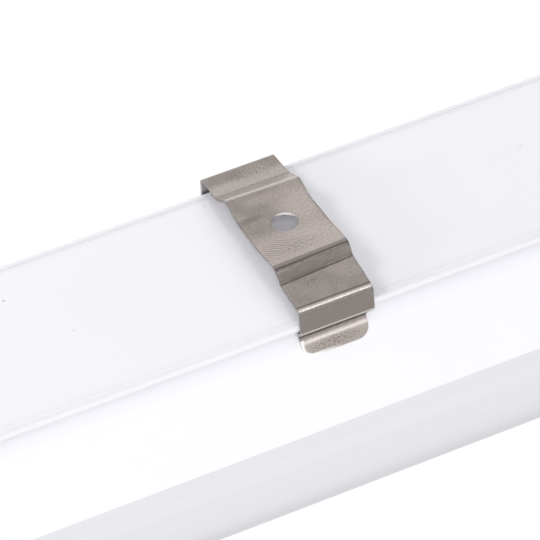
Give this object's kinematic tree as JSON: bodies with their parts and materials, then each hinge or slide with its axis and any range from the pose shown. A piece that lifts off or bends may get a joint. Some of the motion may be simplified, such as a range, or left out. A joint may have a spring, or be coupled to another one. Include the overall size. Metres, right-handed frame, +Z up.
{
  "type": "led batten light",
  "caption": "Slim linear LED batten light, back up: white channel housing, milky diffuser, end caps with a cable gland, and spring steel ceiling clips that slide along its lips.",
  "frame": {"origin": "midway between the two clip screw holes, on the top face of the clip plates, where the ceiling is", "axes": "+X along the batten towards the cable gland, +Y across it, +Z up into the ceiling"},
  "size_m": [0.6241, 0.0518, 0.055],
  "materials": {
    "white_enamel": "smooth white powder coat",
    "opal_diffuser": "milky extruded plastic",
    "white_moulding": "fine-textured white moulding",
    "gasket_foam": "grey sponge rubber",
    "zinc_screws": "bright zinc plate",
    "spring_steel": "cold-rolled stainless spring strip",
    "tray_enamel": "white coil coat",
    "lamp_board_white": "white solder mask",
    "phosphor": "yellow phosphor in white frames",
    "connector_white": "natural nylon",
    "driver_plastic": "light grey moulding",
    "circuit_board": "green solder mask",
    "transformer_tape": "yellow winding tape",
    "capacitor_sleeve": "shrink sleeve",
    "ferrite": "coated ferrite ring",
    "black_epoxy": "moulded epoxy",
    "terminal_plastic": "white nylon",
    "clamp_steel": "spring steel",
    "live_insulation": "brown insulation",
    "neutral_insulation": "blue insulation",
    "earth_insulation": "green and yellow insulation",
    "lamp_insulation": "white insulation",
    "tinned_brass": "tinned brass",
    "gland_plastic": "light grey nylon",
    "seal_rubber": "black rubber",
    "live_button_plastic": "brown nylon",
    "neutral_button_plastic": "blue nylon",
    "earth_button_plastic": "green nylon"
  },
  "bodies": {
    "batten": {"housing": "white_enamel", "diffuser": "opal_diffuser", "end_cap_left": "white_moulding", "end_cap_right": "white_moulding", "end_gasket_left": "gasket_foam", "end_gasket_right": "gasket_foam", "end_cap_screws": "zinc_screws", "gear_tray": "tray_enamel", "led_board": "lamp_board_white", "led_chips": "phosphor", "board_screws": "zinc_screws", "board_connector": "connector_white", "driver_case": "driver_plastic", "driver_lid": "driver_plastic", "driver_board": "circuit_board", "driver_transformer": "transformer_tape", "driver_capacitors": "capacitor_sleeve", "driver_choke": "ferrite", "driver_transistors": "black_epoxy", "driver_screws": "zinc_screws", "terminal_block": "terminal_plastic", "terminal_clamps": "clamp_steel", "live_wire": "live_insulation", "neutral_wire": "neutral_insulation", "earth_wire": "earth_insulation", "lamp_wires": "lamp_insulation", "earth_tag": "tinned_brass", "earth_screw": "zinc_screws", "gland_body": "gland_plastic", "gland_seal": "seal_rubber", "gland_locknut": "gland_plastic", "blanking_plug": "gland_plastic", "blanking_washer": "seal_rubber", "blanking_locknut": "gland_plastic"},
    "clip_left": {"clip_left": "spring_steel"},
    "clip_right": {"clip_right": "spring_steel"},
    "live_button": {"live_button": "live_button_plastic"},
    "neutral_button": {"neutral_button": "neutral_button_plastic"},
    "earth_button": {"earth_button": "earth_button_plastic"},
    "gland_nut": {"gland_nut": "gland_plastic"}
  },
  "joints": [
    {"name": "clip_left_slide", "type": "slide", "parent": "batten", "child": "clip_left", "axis": [1, 0, 0], "range_m": [-0.076, 0.19]},
    {"name": "clip_right_slide", "type": "slide", "parent": "batten", "child": "clip_right", "axis": [1, 0, 0], "range_m": [-0.19, 0.076]},
    {"name": "live_button_push", "type": "slide", "parent": "batten", "child": "live_button", "axis": [0, 0, -1], "range_m": [0, 0.0012], "stiffness_N_per_m": 600, "springref_m": -0.0012},
    {"name": "neutral_button_push", "type": "slide", "parent": "batten", "child": "neutral_button", "axis": [0, 0, -1], "range_m": [0, 0.0012], "stiffness_N_per_m": 600, "springref_m": -0.0012},
    {"name": "earth_button_push", "type": "slide", "parent": "batten", "child": "earth_button", "axis": [0, 0, -1], "range_m": [0, 0.0012], "stiffness_N_per_m": 600, "springref_m": -0.0012},
    {"name": "gland_nut_turn", "type": "hinge", "parent": "batten", "child": "gland_nut", "pos_m": [0.31, 0, -0.02315], "axis": [1, 0, 0], "range_deg": [0, 360]}
  ]
}
